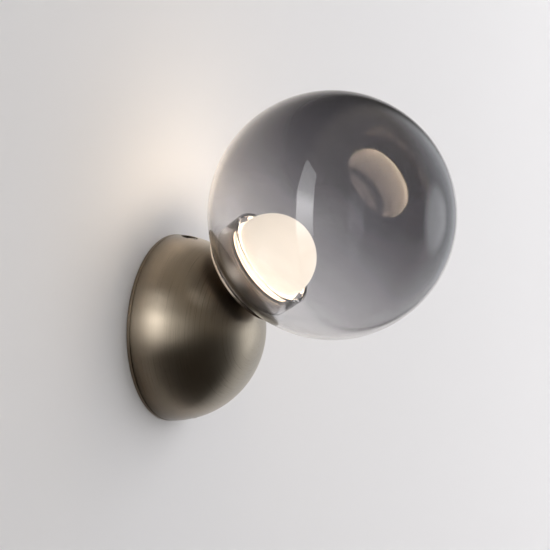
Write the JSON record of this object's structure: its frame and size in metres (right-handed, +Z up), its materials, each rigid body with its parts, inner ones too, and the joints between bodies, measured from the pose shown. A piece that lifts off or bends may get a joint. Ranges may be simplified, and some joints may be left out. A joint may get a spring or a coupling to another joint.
{
  "type": "globe wall sconce",
  "caption": "Wall sconce with a brushed hemispherical wall canopy and a smoked glass globe on a tilted neck, lit by an opal dome inside.",
  "frame": {"origin": "middle of the canopy's mouth, on the wall, at the centre of the two wall-screw slots", "axes": "+Z up along the wall, +Y into the wall, +X across the wall; the sconce stands out towards -Y"},
  "size_m": [0.15, 0.1843, 0.2051],
  "materials": {
    "zinc_steel": "zinc plated, satin",
    "black_plastic": "moulded, matte",
    "white_plastic": "moulded, satin",
    "driver_case": "moulded, matte",
    "bare_brass": "bare, turned",
    "tinned_copper": "tinned",
    "brushed_bronze": "antique bronze, finely brushed, lacquered",
    "screw_bronze": "bronze plated",
    "dark_bronze": "dark bronze, turned",
    "collar_metal": "turned, brown-grey anodised",
    "board_white": "white solder mask",
    "chip_phosphor": "phosphor, lit",
    "opal": "opal, satin, lit",
    "silicone": "translucent, matte",
    "smoked_glass": "clear smoked glass, polished",
    "brown_insulation": "satin",
    "blue_insulation": "satin",
    "green_insulation": "green with yellow, satin",
    "red_insulation": "satin",
    "black_insulation": "satin"
  },
  "bodies": {
    "wall_base": {"wall_bracket": "zinc_steel", "cable_bush": "black_plastic", "terminal_block": "white_plastic", "terminal_sleeves": "bare_brass", "terminal_screws": "zinc_steel", "block_screw": "zinc_steel", "led_driver": "driver_case", "driver_screws": "zinc_steel", "earth_washer": "zinc_steel", "earth_ring_terminal": "tinned_copper", "earth_screw": "bare_brass", "canopy_dome": "brushed_bronze", "canopy_screws": "screw_bronze", "neck": "dark_bronze", "threaded_tube": "zinc_steel", "tube_washer": "zinc_steel", "canopy_nut": "zinc_steel", "collar_nut": "zinc_steel", "heat_sink_collar": "collar_metal", "led_board": "board_white", "led_chips": "chip_phosphor", "board_screws": "zinc_steel", "live_lead": "brown_insulation", "neutral_lead": "blue_insulation", "earth_lead": "green_insulation", "positive_lead": "red_insulation", "negative_lead": "black_insulation"},
    "gasket": {"globe_gasket": "silicone"},
    "globe": {"glass_globe": "smoked_glass"},
    "diffuser": {"opal_diffuser": "opal"}
  },
  "joints": [
    {"name": "globe_turn", "type": "hinge", "parent": "wall_base", "child": "gasket", "pos_m": [0, 0, 0], "axis": [0, -0.8348, 0.5505], "range_deg": [0, 1440]},
    {"name": "globe_travel", "type": "slide", "parent": "gasket", "child": "globe", "axis": [0, -0.8348, 0.5505], "range_m": [0, 0.012]},
    {"name": "diffuser_twist", "type": "hinge", "parent": "wall_base", "child": "diffuser", "pos_m": [0, 0, 0], "axis": [0, -0.8348, 0.5505], "range_deg": [0, 30]}
  ],
  "couplings": [
    {"joint": "globe_travel", "follows": "globe_turn", "m_per_rad": 0.000477}
  ]
}
